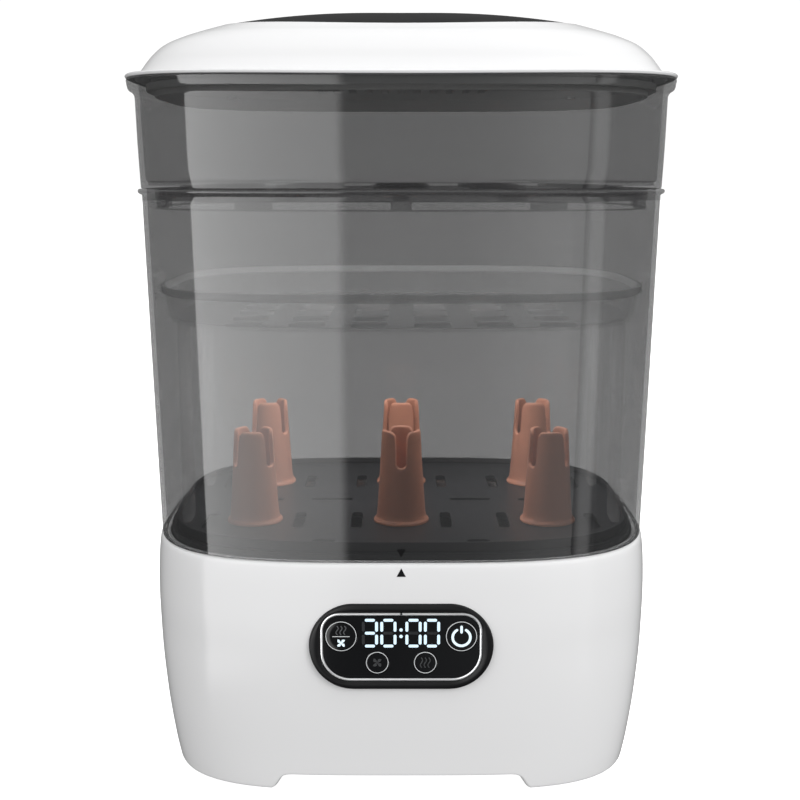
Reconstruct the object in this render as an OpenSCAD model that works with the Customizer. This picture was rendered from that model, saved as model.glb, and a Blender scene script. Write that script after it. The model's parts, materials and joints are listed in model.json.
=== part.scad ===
// Countertop bottle steam sterilizer and dryer.
// Origin: centre of the footprint on the table, +Z up, control panel towards -Y.

/* [Plan outline] */
// Power of the rounded-rectangle outline shared by every tier
outline_power = 3.4; // [3.2:0.1:3.6]
// Wall of the smoked chamber and upper tray
tier_wall = 2.4; // [2:0.1:2.6]
// Wall of the base housing
base_wall = 2.6; // [2.4:0.1:2.8]

/* [Bottle rack] */
// Spacing of the peg columns, left to right
peg_pitch_x = 79; // [77:0.5:81]
// Spacing of the two peg rows, front to back
peg_pitch_y = 86; // [82:1:88]
// Height of one peg above the rack
peg_h = 50; // [44:1:54]
// Outer radius of a peg at its foot
peg_r_foot = 13.2; // [12.5:0.1:14]
// Outer radius of a peg at its crown
peg_r_top = 10.2; // [9.5:0.1:11]

/* [Control panel] */
// Width of the black bezel
bezel_w = 92; // [90:1:92]
// Height of the black bezel
bezel_h = 44.4; // [44:0.2:45]
// Radius of the two upper buttons
big_button_r = 8; // [7.4:0.1:8]
// Radius of the two lower buttons
small_button_r = 5.9; // [5.4:0.1:6]

/* [Blower] */
// Number of impeller blades
blades = 22; // [14:1:26]
// Outer radius of the impeller
impeller_r = 36; // [32:1:37]

/* [Hidden] */
$fn = 48;
SEG = 64;

// tier heights
base_top = 125;
chamber_top = 306.8;
tray_top = 358.8;
lid_apex = 397.2;
deck_z = 120;
rack_z = 128;
rack_t = 2.4;
// panel planes, counted along Y
bezel_front = -105.6;
lens_front = -105.4;
ledge_y = -103.2;
panel_z = 82;
window_z = 82.15;
// blower centre
fan_x = 25;
fan_y = 20;
// button centres
mode_at = [-30, 87.8];
power_at = [30, 87.8];
dry_at = [-12, 74];
steam_at = [12, 74];

function sg(v) = v < 0 ? -1 : 1;
function edge(a, b, k, p = outline_power) = let (t = 360 * k / SEG)
  [a * sg(cos(t)) * pow(abs(cos(t)), 2 / p), b * sg(sin(t)) * pow(abs(sin(t)), 2 / p)];
function outline(a, b) = [for (k = [0 : SEG - 1]) edge(a, b, k)];
function in_by(rings, d) = [for (r = rings) [r[0], r[1] - d, r[2] - d]];

// straight prism on the shared outline
module slab(z, h, a, b) { translate([0, 0, z]) linear_extrude(h) polygon(outline(a, b)); }
module ring_slab(z, h, a, b, w) { difference() { slab(z, h, a, b); slab(z - 1, h + 2, a - w, b - w); } }

// skin through rings [height, half width, half depth, side rise, added outline power]; looped for an open shell, capped otherwise
module skin(rings, looped = false) {
  m = len(rings);
  pts = [for (r = rings) for (k = [0 : SEG - 1]) let (p = edge(r[1], r[2], k, outline_power + (len(r) > 4 ? r[4] : 0)), up = len(r) > 3 ? r[3] : 0)
    [p[0], p[1], r[0] + up * pow(p[0] / r[1], 2)]];
  sides = [for (i = [0 : looped ? m - 1 : m - 2]) for (k = [0 : SEG - 1])
    let (j = (i + 1) % m, l = (k + 1) % SEG)
    each [[i * SEG + k, j * SEG + k, j * SEG + l], [i * SEG + k, j * SEG + l, i * SEG + l]]];
  caps = looped ? [] : [[for (k = [0 : SEG - 1]) k], [for (k = [SEG - 1 : -1 : 0]) (m - 1) * SEG + k]];
  polyhedron(points = pts, faces = concat(sides, caps));
}

// outline drawn in X and Z, extruded towards the front from the plane y0
module towards_front(y0, h) { translate([0, y0, 0]) rotate([90, 0, 0]) linear_extrude(h) children(); }
module stadium(w, h) { square([w - h, h], center = true); for (s = [-1, 1]) translate([s * (w - h) / 2, 0]) circle(h / 2); }
// rounded window with its own upper and lower corner radii, as a block in front of the plane y0
module window_block(y0, t, w, h, rt, rb) {
  towards_front(y0, t) polygon([[-w + rt, h], [w - rt, h], [w, h - rt], [w, rb - h], [w - rb, -h], [rb - w, -h], [-w, rb - h], [-w, h - rt]]);
  for (s = [-1, 1]) {
    towards_front(y0, t) translate([s * (w - rt), h - rt]) circle(rt);
    towards_front(y0, t) translate([s * (w - rb), rb - h]) circle(rb);
  }
}
module box(x0, x1, y0, y1, z0, z1) { translate([x0, y0, z0]) cube([x1 - x0, y1 - y0, z1 - z0]); }
module rod(x, y, z, h, r) { translate([x, y, z]) cylinder(h = h, r = r); }

// ---------------------------------------------------------------- base
base_outer = [[0.8, 123.4, 96.6, 0, 0.45], [2, 124.5, 97.7, 0, 0.45], [9, 126.0, 98.4, 0, 0.42], [20, 127.9, 99.4, 0, 0.36], [32, 129.7, 100.6, 0, 0.28],
  [44, 131.1, 101.7, 0, 0.2], [60, 132.6, 102.9, 0, 0.1], [76, 133.5, 103.9], [92, 133.8, 104.5], [106, 133.5, 104.3],
  [116, 132.9, 103.9], [122, 132.2, 103.3], [124.3, 131.4, 102.5], [base_top, 130.6, 101.7]];
module base_shell() {
  skin(concat(base_outer,
    [[base_top, 127, 98.4], [deck_z, 127, 98.4], [deck_z, 123.5, 95.2], [117, 123.5, 95.2], [114.5, 130.1, 101.1]],
    [for (i = [8 : -1 : 0]) let (r = base_outer[i]) [r[0], r[1] - base_wall, r[2] - base_wall, 0, len(r) > 4 ? r[4] : 0]]),
    looped = true);
}
module base_housing() color("white") difference() {
  union() {
    base_shell();
    // filter bay behind the rear door
    difference() { box(-34, 34, 76, 102.4, 57, 99); box(-31.5, 31.5, 70, 110, 59.5, 96.5); }
    // grid at the inner end of the filter bay
    for (x = [-16, 0, 16]) box(x - 1.2, x + 1.2, 76, 78, 58, 98);
    // bosses for the four cover screws, tied to the side walls
    for (sx = [-1, 1]) for (sy = [-1, 1]) {
      rod(sx * 104, sy * 62, 11.9, 14, 4.2);
      box(sx > 0 ? 104 : -117, sx > 0 ? 117 : -104, sy * 62 - 1.5, sy * 62 + 1.5, 11.9, 23.9);
    }
    // flat seat for the cord gland
    translate([70, 99.2, 28]) rotate([90, 0, 0]) cylinder(h = 7.4, r = 11);
  }
  // pilot bores of the screw bosses
  for (sx = [-1, 1]) for (sy = [-1, 1]) rod(sx * 104, sy * 62, 10, 13, 1.55);
  // raised arch between the feet, front and rear
  towards_front(150, 300) polygon([[-68.6, -1], [68.6, -1], [66.8, 1.2], [64.6, 4], [62.8, 7], [60.6, 8.7], [57.5, 9.4],
    [-57.5, 9.4], [-60.6, 8.7], [-62.8, 7], [-64.6, 4], [-66.8, 1.2]]);
  // control panel opening
  translate([0, 0, panel_z]) towards_front(-90, 30) stadium(92.4, bezel_h + 0.4);
  // opening of the filter bay
  box(-31.5, 31.5, 90, 110, 59.5, 96.5);
  // cord entry
  translate([70, 120, 28]) rotate([90, 0, 0]) cylinder(h = 60, r = 6);
}
module base_bottom_cover() color("whitesmoke") difference() {
  union() {
    slab(9.4, 2.4, 122.6, 93.4);
    for (x = [-98, -30]) for (y = [-58, 8]) rod(x, y, 11.8, 6.2, 3);
    translate([fan_x, fan_y, 11.8]) difference() { cylinder(h = 2.2, r = 20); translate([0, 0, -1]) cylinder(h = 5, r = 12); }
  }
  for (sx = [-1, 1]) for (sy = [-1, 1]) rod(sx * 104, sy * 62, 8, 6, 1.7);
  for (i = [-4 : 4]) box(i * 9 - 2 - 34, i * 9 + 2 - 34, 28, 62, 8, 13);
  for (sx = [-1, 1]) for (sy = [-1, 1]) rod(sx * 92, sy * 66, 8, 6, 3);
}
module rubber_feet() color("dimgray") for (sx = [-1, 1]) for (sy = [-1, 1])
  translate([sx * 92, sy * 66, 0]) rotate_extrude() polygon([[0, 0], [8, 0], [9, 1], [9.6, 9.4], [3, 9.4], [3, 11.8], [3.9, 11.8], [3.2, 13.4], [0, 13.4]]);
module cover_screws() color("silver") for (sx = [-1, 1]) for (sy = [-1, 1])
  translate([sx * 104, sy * 62, 7.4]) difference() {
    union() { cylinder(h = 2, r = 2.9); cylinder(h = 13, r = 1.5); }
    translate([0, 0, -1]) cylinder(h = 2.1, r = 1.3, $fn = 6);
  }

// ---------------------------------------------------------------- heating
module heater_deck() color("dimgray") difference() {
  union() { slab(deck_z, 5, 126.6, 98); ring_slab(base_top - 1, 4, 126.2, 97.8, 2); }
  slab(deck_z - 1, 8, 87.5, 61.5);
  box(-61, -39, 69, 87, 110, 130);
}
module plate_gasket() color("white") ring_slab(base_top, 0.6, 91.5, 65.5, 3.4);
module heating_plate() color("silver") skin([[119.6, 80, 54], [121.2, 85, 59], [125.6, 86.6, 60.6], [125.6, 92, 66], [126.8, 92, 66],
  [126.8, 85.4, 59.4], [121.8, 83.8, 57.8], [120.8, 79.4, 53.4]]);
module heating_element() color("gray") {
  translate([0, 0, 114.6]) rotate([0, 0, 110]) rotate_extrude(angle = 320) translate([42, 0]) square([6, 5]);
  for (s = [-1, 1]) rod(cos(270 + s * 16) * 45, sin(270 + s * 16) * 45, 104, 10.8, 1.6);
}
module thermostat() color("black") {
  rod(0, 0, 112, 7.6, 8);
  for (s = [-1, 1]) box(s * 4 - 0.4, s * 4 + 0.4, -3, 3, 106, 112.5);
}
module thermal_fuse() color("whitesmoke") { box(-8, 8, 22, 28, 114.6, 119.6); for (s = [-1, 1]) box(s * 10 - 3, s * 10 + 3, 24.4, 25.6, 116.5, 117.7); }

// ---------------------------------------------------------------- drying air
module blower_housing() color("darkgray") difference() {
  union() { rod(fan_x, fan_y, 42, 30, 44); box(-36, fan_x, 38, 64, 42, 72); }
  rod(fan_x, fan_y, 44, 30, 42);
  box(-38, fan_x, 40, 62, 44, 70);
  rod(fan_x, fan_y, 40, 6, 3);
}
module blower_cover() color("gray") difference() {
  rod(fan_x, fan_y, 72, 2, 44);
  rod(fan_x, fan_y, 71, 4, 22);
}
module blower_motor() color("silver") difference() {
  union() { rod(fan_x, fan_y, 14, 25, 17); rod(fan_x, fan_y, 39, 3, 6); }
  rod(fan_x, fan_y, 20, 30, 1.55);
}
module motor_shaft() color("gray") rod(fan_x, fan_y, 24, 40, 1.5);
module blower_impeller() color("black") translate([fan_x, fan_y, 46]) difference() {
  union() {
    cylinder(h = 1.6, r = impeller_r);
    cylinder(h = 18, r = 6);
    for (i = [0 : blades - 1]) rotate([0, 0, i * 360 / blades]) translate([impeller_r - 9, -1, 1])
      linear_extrude(20) polygon([[0, 0], [4, -1], [8.5, -3.6], [8.5, -2.4], [4, 0.2], [0, 1.2]]);
  }
  translate([0, 0, -1]) cylinder(h = 30, r = 1.52);
}
module air_duct() color("gray") difference() {
  union() { box(-64, -36, 38, 90, 42, 72); box(-64, -36, 66, 90, 70, deck_z); }
  box(-62, -30, 40, 62, 44, 70);
  box(-62, -38, 40, 88, 44, 70);
  box(-62, -38, 68, 88, 44, 130);
}
module air_heater() color("silver") difference() {
  box(-62, -38, 68, 88, 80, 96);
  for (i = [0 : 5]) box(-60.4 + i * 3.6, -58 + i * 3.6, 70, 86, 70, 110);
}
module outlet_grille() color("dimgray") difference() {
  box(-63, -37, 67.5, 89, base_top, 126.8);
  for (i = [0 : 4]) box(-60, -40, 70 + i * 3.6, 71.8 + i * 3.6, 120, 130);
}
module air_filter() color("white") {
  difference() { box(-30.4, 30.4, 82, 98, 60.6, 95.4); box(-28.4, 28.4, 81, 99, 62.6, 93.4); }
  translate([0, 0, 61.6]) linear_extrude(32.8) polygon(concat(
    [for (i = [0 : 28]) [-29 + i * 58 / 28, i % 2 == 0 ? 84.6 : 95.4]],
    [for (i = [28 : -1 : 0]) [-29 + i * 58 / 28, i % 2 == 0 ? 83.4 : 94.2]]));
}
module filter_cover() color("white") difference() {
  union() { box(-31.1, 31.1, 101.2, 103.8, 60, 96); box(-30.4, 30.4, 98, 101.4, 60.6, 62.6); box(-30.4, 30.4, 98, 101.4, 93.4, 95.4); }
  for (i = [0 : 5]) box(-24, 24, 90, 110, 66 + i * 4, 68 + i * 4);
  translate([0, 104.8, 92]) rotate([0, 90, 0]) cylinder(h = 20, r = 2.2, center = true);
}

// ---------------------------------------------------------------- electrics
module power_board() color("darkgreen") box(-98, -26, -62, 12, 18, 19.6);
module power_board_parts() {
  color("gold") box(-96, -68, -54, -30, 19.6, 40);
  color("black") box(-62, -44, -54, -38, 19.6, 35);
  color("navy") rod(-52, -22, 19.6, 20, 6);
  color("navy") rod(-68, -18, 19.6, 14, 5);
  color("silver") box(-96, -78, -20, -4, 19.6, 34);
  color("white") box(-50, -32, 0, 8, 19.6, 28);
}
module terminal_block() color("white") difference() {
  box(68, 98, 40, 56, 11.8, 26);
  for (i = [0 : 2]) rod(73.5 + i * 9.5, 48, 16, 20, 2.6);
}
module cord_gland() color("dimgray") translate([70, 102.2, 28]) rotate([90, 0, 0]) difference() {
  union() { cylinder(h = 3, r = 8.5); cylinder(h = 13, r = 5.95); translate([0, 0, 10.4]) cylinder(h = 2.6, r = 8); }
  translate([0, 0, -1]) cylinder(h = 20, r = 3.4);
}
module control_board() color("darkgreen") box(-40, 40, -95.8, -94.2, 62, 101);
module dome(at) translate([at[0], -95.8, at[1]]) rotate([90, 0, 0]) cylinder(h = 1.5, r1 = 4.2, r2 = 3);
module switch_domes() color("white") { dome(mode_at); dome(power_at); dome(dry_at); dome(steam_at); }
module display_module() color("black") box(-20.6, 20.6, lens_front, -95.8, 80.8, 98.4);

// seven-segment figures, each segment a separate chip
dig_w = 8.3;
dig_h = 15.4;
dig_z = 89.5;
seg_t = 1.8;
module seg_h(x, z) { towards_front(lens_front, 0.2) translate([x, z]) polygon([[-2.3, 0], [-1.6, seg_t / 2], [1.6, seg_t / 2], [2.3, 0], [1.6, -seg_t / 2], [-1.6, -seg_t / 2]]); }
module seg_v(x, z) { towards_front(lens_front, 0.2) translate([x, z]) polygon([[0, -2.6], [seg_t / 2, -1.9], [seg_t / 2, 1.9], [0, 2.6], [-seg_t / 2, 1.9], [-seg_t / 2, -1.9]]); }
// figure: list of lit segments in the order top, upper right, lower right, bottom, lower left, upper left, middle
module figure(x, on) {
  w = dig_w / 2 - seg_t / 2;
  h = dig_h / 2 - seg_t / 2;
  if (on[0]) seg_h(x, dig_z + h);
  if (on[3]) seg_h(x, dig_z - h);
  if (on[6]) seg_h(x, dig_z);
  if (on[1]) seg_v(x + w, dig_z + h / 2);
  if (on[5]) seg_v(x - w, dig_z + h / 2);
  if (on[2]) seg_v(x + w, dig_z - h / 2);
  if (on[4]) seg_v(x - w, dig_z - h / 2);
}
module display_digits() color("azure") {
  figure(-15.6, [1, 1, 1, 1, 0, 0, 1]);
  figure(-6.4, [1, 1, 1, 1, 1, 1, 0]);
  figure(6.1, [1, 1, 1, 1, 1, 1, 0]);
  figure(15.3, [1, 1, 1, 1, 1, 1, 0]);
  for (z = [87.8, 91.2]) towards_front(lens_front, 0.2) translate([-0.1, z]) circle(0.95);
}

// ---------------------------------------------------------------- control panel
module window_shape(y0, t, d) { translate([0, 0, window_z]) window_block(y0, t, 40.4 - d, 17.8 - d, 9.5 - d, 15 - d); }
module panel_bezel() color("black") difference() {
  union() {
    translate([0, 0, panel_z]) towards_front(-99.2, -99.2 - bezel_front) stadium(bezel_w, bezel_h);
    translate([0, 0, panel_z]) towards_front(-97.6, 1.6) stadium(98, 50.4);
  }
  window_shape(ledge_y, 10, 0);
  window_shape(-90, 20, 1.1);
}
module panel_trim_ring() color("silver") difference() { window_shape(ledge_y, 2.6, 0); window_shape(-100, 10, 1.4); }
module panel_lens() color("black") difference() {
  window_shape(ledge_y, ledge_y - lens_front, 1.4);
  towards_front(-100, 20) translate(mode_at) circle(big_button_r + 0.3);
  towards_front(-100, 20) translate(power_at) circle(big_button_r + 0.3);
  towards_front(-100, 20) translate(dry_at) circle(small_button_r + 0.3);
  towards_front(-100, 20) translate(steam_at) circle(small_button_r + 0.3);
  box(-20.6, 20.6, -120, -100, 80.8, 98.4);
}
// button cap with a stop flange behind the lens and a stem over its dome switch
module cap(at, r) translate([at[0], -98.4, at[1]]) rotate([90, 0, 0]) {
  cylinder(h = 4, r = 2.6);
  translate([0, 0, 3.4]) cylinder(h = 1.4, r = r + 0.6);
  translate([0, 0, 4.4]) cylinder(h = -98.4 + 105.5 - 4.4, r = r);
}
module mode_button() color("black") cap(mode_at, big_button_r);
module power_button() color("black") cap(power_at, big_button_r);
module dry_button() color("black") cap(dry_at, small_button_r);
module steam_button() color("black") cap(steam_at, small_button_r);

// ---------------------------------------------------------------- smoked tiers
module chamber() color("dimgray") {
  w = tier_wall;
  skin([[base_top, 131.1, 103], [170, 132.2, 104.5], [220, 133.4, 106.1], [304.0, 135.3, 108.8], [304.6, 136.8, 110.3],
    [305.7, 137.4, 110.9], [chamber_top, 136.9, 110.4],
    [chamber_top, 135.5 - w, 109 - w], [220, 133.4 - w, 106.1 - w], [base_top, 131.1 - w, 103 - w]], looped = true);
}
module top_tray() color("dimgray") {
  w = tier_wall;
  difference() {
    union() {
      skin([[chamber_top, 135.6, 109.1], [330, 136.5, 111], [351.2, 137, 112.2, 2], [352.4, 138.2, 113.2, 2.2], [353.6, 139.9, 114.2, 2.2],
        [358.1, 141.0, 115, 2.2], [tray_top, 140.6, 114.6, 2.2], [tray_top, 135, 110.2, 2.2], [351, 134.6, 109.8, 2], [309.4, 133.2, 106.7]]);
      // nesting skirt that locates the tray inside the chamber
      ring_slab(296.8, 11, 129.2, 102.6, 2);
    }
    // drain slots of the floor
    for (x = [-96, -48, 0, 48, 96]) for (y = [-66, -22, 22, 66]) box(x - 14, x + 14, y - 2.5, y + 2.5, 300, 315);
    // windows of the skirt
    for (x = [-97, -33, 33, 97]) box(x - (abs(x) > 50 ? 18 : 28), x + (abs(x) > 50 ? 18 : 28), -130, 130, 297.6, 301.2);
    for (y = [-31, 31]) box(-150, 150, y - 26, y + 26, 297.6, 301.2);
  }
}
module middle_tray() color("lightgray") difference() {
  skin([[238.6, 122.6, 94.8], [241, 124.2, 96.4], [252.6, 126.0, 98.0], [254.6, 128.1, 99.9], [257.4, 128.1, 99.9],
    [257.4, 126.4, 98.2], [254.4, 124.2, 96.2], [243, 122.4, 94.6], [240.8, 120.8, 93]]);
  for (x = [-79, -47.4, -15.8, 15.8, 47.4, 79]) for (y = [-72, -43, -14, 14, 43, 72]) box(x - 9.5, x + 9.5, y - 4, y + 4, 230, 242);
}
// four legs that stand on the rack and carry the middle tray
module tray_legs() color("lightgray") for (sx = [-1, 1]) for (sy = [-1, 1])
  translate([sx * 115, sy * 40, rack_z + rack_t]) translate([-2, -8, 0]) cube([4, 16, 238.6 - rack_z - rack_t]);
module bottle_rack() color("dimgray") difference() {
  union() {
    slab(rack_z, rack_t, 123.8, 95.4);
    ring_slab(rack_z, 5.2, 123.8, 95.4, 1.8);
    for (sx = [-1, 1]) for (sy = [-1, 1]) rod(sx * 104, sy * 70, base_top, 3.6, 4);
  }
  // drain slots around the pegs
  for (i = [-1 : 1]) for (j = [-1, 1]) for (s = [-1, 1]) {
    box(i * peg_pitch_x + s * 24 - 3, i * peg_pitch_x + s * 24 + 3, j * peg_pitch_y / 2 - 15, j * peg_pitch_y / 2 + 15, 120, 140);
  }
  for (x = [-79, -39.5, 0, 39.5, 79]) box(x - 12, x + 12, -2.5, 2.5, 120, 140);
  for (sx = [-1, 1]) box(sx * 79 - 12, sx * 79 + 12, -84, -78, 120, 131);
  for (sx = [-1, 1]) box(sx * 39.5 - 6, sx * 39.5 + 6, -84, -78, 120, 131);
}
// hollow peg with three prongs, turned so that a slot or a prong faces the front
module peg(x, y, turn) translate([x, y, rack_z + rack_t]) difference() {
  rotate_extrude() polygon([[0, 0], [peg_r_foot + 1.6, 0], [peg_r_foot + 1.6, 1.2], [peg_r_foot, 2.4], [peg_r_top, peg_h - 2],
    [peg_r_top - 0.8, peg_h], [peg_r_top - 2, peg_h], [peg_r_top - 2.6, peg_h - 1], [peg_r_foot - 3, 3], [0, 3]]);
  for (i = [0 : 2]) rotate([0, 0, turn - 90 + i * 120]) {
    translate([0, -3.1, peg_h - 16]) cube([30, 6.2, 30]);
    translate([0, 0, peg_h - 16]) rotate([0, 90, 0]) cylinder(h = 30, r = 3.1);
  }
}
module bottle_pegs() color("indianred") for (j = [-1, 1]) for (i = [-1 : 1])
  peg(i * peg_pitch_x, j * peg_pitch_y / 2, i == 0 ? (j < 0 ? 0 : 60) : 60);

// ---------------------------------------------------------------- lid
module lid_shell() color("white") difference() {
  union() {
    skin([[359.1, 141.0, 115.0, 2.2], [360.2, 141.5, 115.4, 2.2], [360.8, 140.8, 114.8, 2.2], [361.2, 135.2, 109.8, 2], [363.0, 134.0, 108.9, 1.6],
      [366.6, 131.8, 107.4, 1], [371.0, 128.6, 105.7, 0.6], [376.0, 122.8, 102.1, 0.8], [379.6, 114.2, 97.8, 1.2], [382.0, 104.2, 92.6, 2.2], [384.0, 94.6, 88.4, 3],
      [381.8, 94.6, 88.4, 3], [379.4, 102.6, 91.2, 2.2], [376.6, 111.0, 94.6, 1.2], [373.0, 118.4, 98.6, 0.8],
      [368.0, 125.4, 102.6, 0.6], [363.0, 129.4, 105.0, 1.6], [359.1, 130.0, 105.4, 2.2]], looped = true);
    // screw bosses of the inner cover, tied to the wall by ribs
    for (sx = [-1, 1]) for (sy = [-1, 1]) {
      rod(sx * 100, sy * 62, 361.6, 16.4, 3.8);
      box(sx > 0 ? 100 : -115, sx > 0 ? 115 : -100, sy * 62 - 1.2, sy * 62 + 1.2, 363, 374);
    }
  }
  for (sx = [-1, 1]) for (sy = [-1, 1]) rod(sx * 100, sy * 62, 355, 18, 1.35);
}
// crowned vent plate that closes the opening of the lid
function crown(s, t) = [lid_apex - t - 13.2 * s * s, 94 * s, 87.8 * s, 3 * s * s];
module lid_vent_plate() color("black") {
  difference() {
    union() {
      skin(concat([for (s = [0.02, 0.3, 0.55, 0.75, 0.9]) crown(s, 2.2)], [[381.6, 92, 85.8, 3], [380.2, 94, 87.8, 3]],
        [for (s = [1, 0.9, 0.75, 0.55, 0.3, 0.02]) crown(s, 0)]));
    }
    // steam louvres
    for (i = [-3 : 3]) box(i * 7 - 1.3, i * 7 + 1.3, -24, 24, 380, 400);
  }
}
module lid_inner_cover() color("whitesmoke") difference() {
  union() { slab(359.4, 2.2, 129, 104.4); ring_slab(352.6, 7, 127.4, 102.8, 2); }
  for (sx = [-1, 1]) for (sy = [-1, 1]) rod(sx * 100, sy * 62, 350, 20, 1.7);
  for (i = [-5 : 5]) box(i * 9 - 2, i * 9 + 2, -34, 34, 350, 370);
}
module lid_seal() color("gray") ring_slab(355.2, 3.2, 131.4, 106.8, 4);
module lid_screws() color("silver") for (sx = [-1, 1]) for (sy = [-1, 1]) {
  rod(sx * 100, sy * 62, 357.8, 1.6, 2.8);
  rod(sx * 100, sy * 62, 358, 12, 1.3);
}

base_housing();
base_bottom_cover();
rubber_feet();
cover_screws();
heater_deck();
heating_plate();
plate_gasket();
heating_element();
thermostat();
thermal_fuse();
blower_housing();
blower_cover();
blower_motor();
motor_shaft();
blower_impeller();
air_duct();
air_heater();
outlet_grille();
air_filter();
filter_cover();
power_board();
power_board_parts();
terminal_block();
cord_gland();
control_board();
switch_domes();
display_module();
display_digits();
panel_bezel();
panel_trim_ring();
panel_lens();
mode_button();
power_button();
dry_button();
steam_button();
chamber();
top_tray();
middle_tray();
tray_legs();
bottle_rack();
bottle_pegs();
lid_shell();
lid_vent_plate();
lid_inner_cover();
lid_seal();
lid_screws();
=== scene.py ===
import json
import math

import bmesh
import bpy
import numpy as np
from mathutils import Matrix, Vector
from mathutils.bvhtree import BVHTree


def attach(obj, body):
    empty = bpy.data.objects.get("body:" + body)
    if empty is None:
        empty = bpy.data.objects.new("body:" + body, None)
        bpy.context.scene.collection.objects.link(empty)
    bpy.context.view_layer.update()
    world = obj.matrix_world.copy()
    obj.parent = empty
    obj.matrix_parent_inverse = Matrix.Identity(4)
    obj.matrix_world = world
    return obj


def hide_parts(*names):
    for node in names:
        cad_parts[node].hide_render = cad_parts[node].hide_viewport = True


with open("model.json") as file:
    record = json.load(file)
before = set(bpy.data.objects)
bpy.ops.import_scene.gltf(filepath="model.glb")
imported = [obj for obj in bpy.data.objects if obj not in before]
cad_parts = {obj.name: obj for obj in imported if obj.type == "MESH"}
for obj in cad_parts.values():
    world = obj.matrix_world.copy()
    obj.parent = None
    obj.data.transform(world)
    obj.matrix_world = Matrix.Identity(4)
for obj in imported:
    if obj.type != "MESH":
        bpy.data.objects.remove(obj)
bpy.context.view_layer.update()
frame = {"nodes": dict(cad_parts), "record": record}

N = frame["nodes"]
POWER = 3.4
MM = 0.001
scene = bpy.context.scene


# ------------------------------------------------------------------ materials
def mat(name, color, rough=0.4, metal=0.0, ior=1.5, spec=0.5, coat=0.0, coat_rough=0.05, alpha=1.0, emit=0.0,
        var=0.03, var_scale=30.0, rvar=0.04, bump=0.0, bump_scale=900.0, stretch=(1, 1, 1), second=None):
    """Principled material whose colour, roughness and surface come from noise."""
    m = bpy.data.materials.new(name)
    m.use_nodes = True
    t = m.node_tree
    t.nodes.clear()
    out = t.nodes.new("ShaderNodeOutputMaterial")
    b = t.nodes.new("ShaderNodeBsdfPrincipled")
    t.links.new(b.outputs["BSDF"], out.inputs["Surface"])
    co = t.nodes.new("ShaderNodeTexCoord")
    mp = t.nodes.new("ShaderNodeMapping")
    mp.inputs["Scale"].default_value = stretch
    t.links.new(co.outputs["Object"], mp.inputs["Vector"])
    n1 = t.nodes.new("ShaderNodeTexNoise")
    n1.inputs["Scale"].default_value = var_scale
    n1.inputs["Detail"].default_value = 4.0
    t.links.new(mp.outputs["Vector"], n1.inputs["Vector"])
    ramp = t.nodes.new("ShaderNodeValToRGB")
    lo = tuple(max(0.0, c * (1 - var)) for c in color) + (1,)
    hi = tuple(min(1.0, c * (1 + var)) for c in (second or color)) + (1,)
    ramp.color_ramp.elements[0].position = 0.3
    ramp.color_ramp.elements[0].color = lo
    ramp.color_ramp.elements[1].position = 0.7
    ramp.color_ramp.elements[1].color = hi
    t.links.new(n1.outputs["Fac"], ramp.inputs["Fac"])
    t.links.new(ramp.outputs["Color"], b.inputs["Base Color"])
    n2 = t.nodes.new("ShaderNodeTexNoise")
    n2.inputs["Scale"].default_value = var_scale * 2.3
    n2.inputs["Detail"].default_value = 3.0
    t.links.new(mp.outputs["Vector"], n2.inputs["Vector"])
    mr = t.nodes.new("ShaderNodeMapRange")
    mr.inputs["To Min"].default_value = max(0.02, rough - rvar)
    mr.inputs["To Max"].default_value = min(1.0, rough + rvar)
    t.links.new(n2.outputs["Fac"], mr.inputs["Value"])
    t.links.new(mr.outputs["Result"], b.inputs["Roughness"])
    if bump > 0:
        n3 = t.nodes.new("ShaderNodeTexNoise")
        n3.inputs["Scale"].default_value = bump_scale
        n3.inputs["Detail"].default_value = 2.0
        t.links.new(mp.outputs["Vector"], n3.inputs["Vector"])
        bp = t.nodes.new("ShaderNodeBump")
        bp.inputs["Strength"].default_value = bump
        bp.inputs["Distance"].default_value = 0.0001
        t.links.new(n3.outputs["Fac"], bp.inputs["Height"])
        t.links.new(bp.outputs["Normal"], b.inputs["Normal"])
    b.inputs["Metallic"].default_value = metal
    b.inputs["IOR"].default_value = ior
    b.inputs["Specular IOR Level"].default_value = spec
    b.inputs["Coat Weight"].default_value = coat
    b.inputs["Coat Roughness"].default_value = coat_rough
    b.inputs["Alpha"].default_value = alpha
    if emit > 0:
        b.inputs["Emission Color"].default_value = (0.78, 0.93, 1.0, 1)
        b.inputs["Emission Strength"].default_value = emit
    return m


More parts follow.
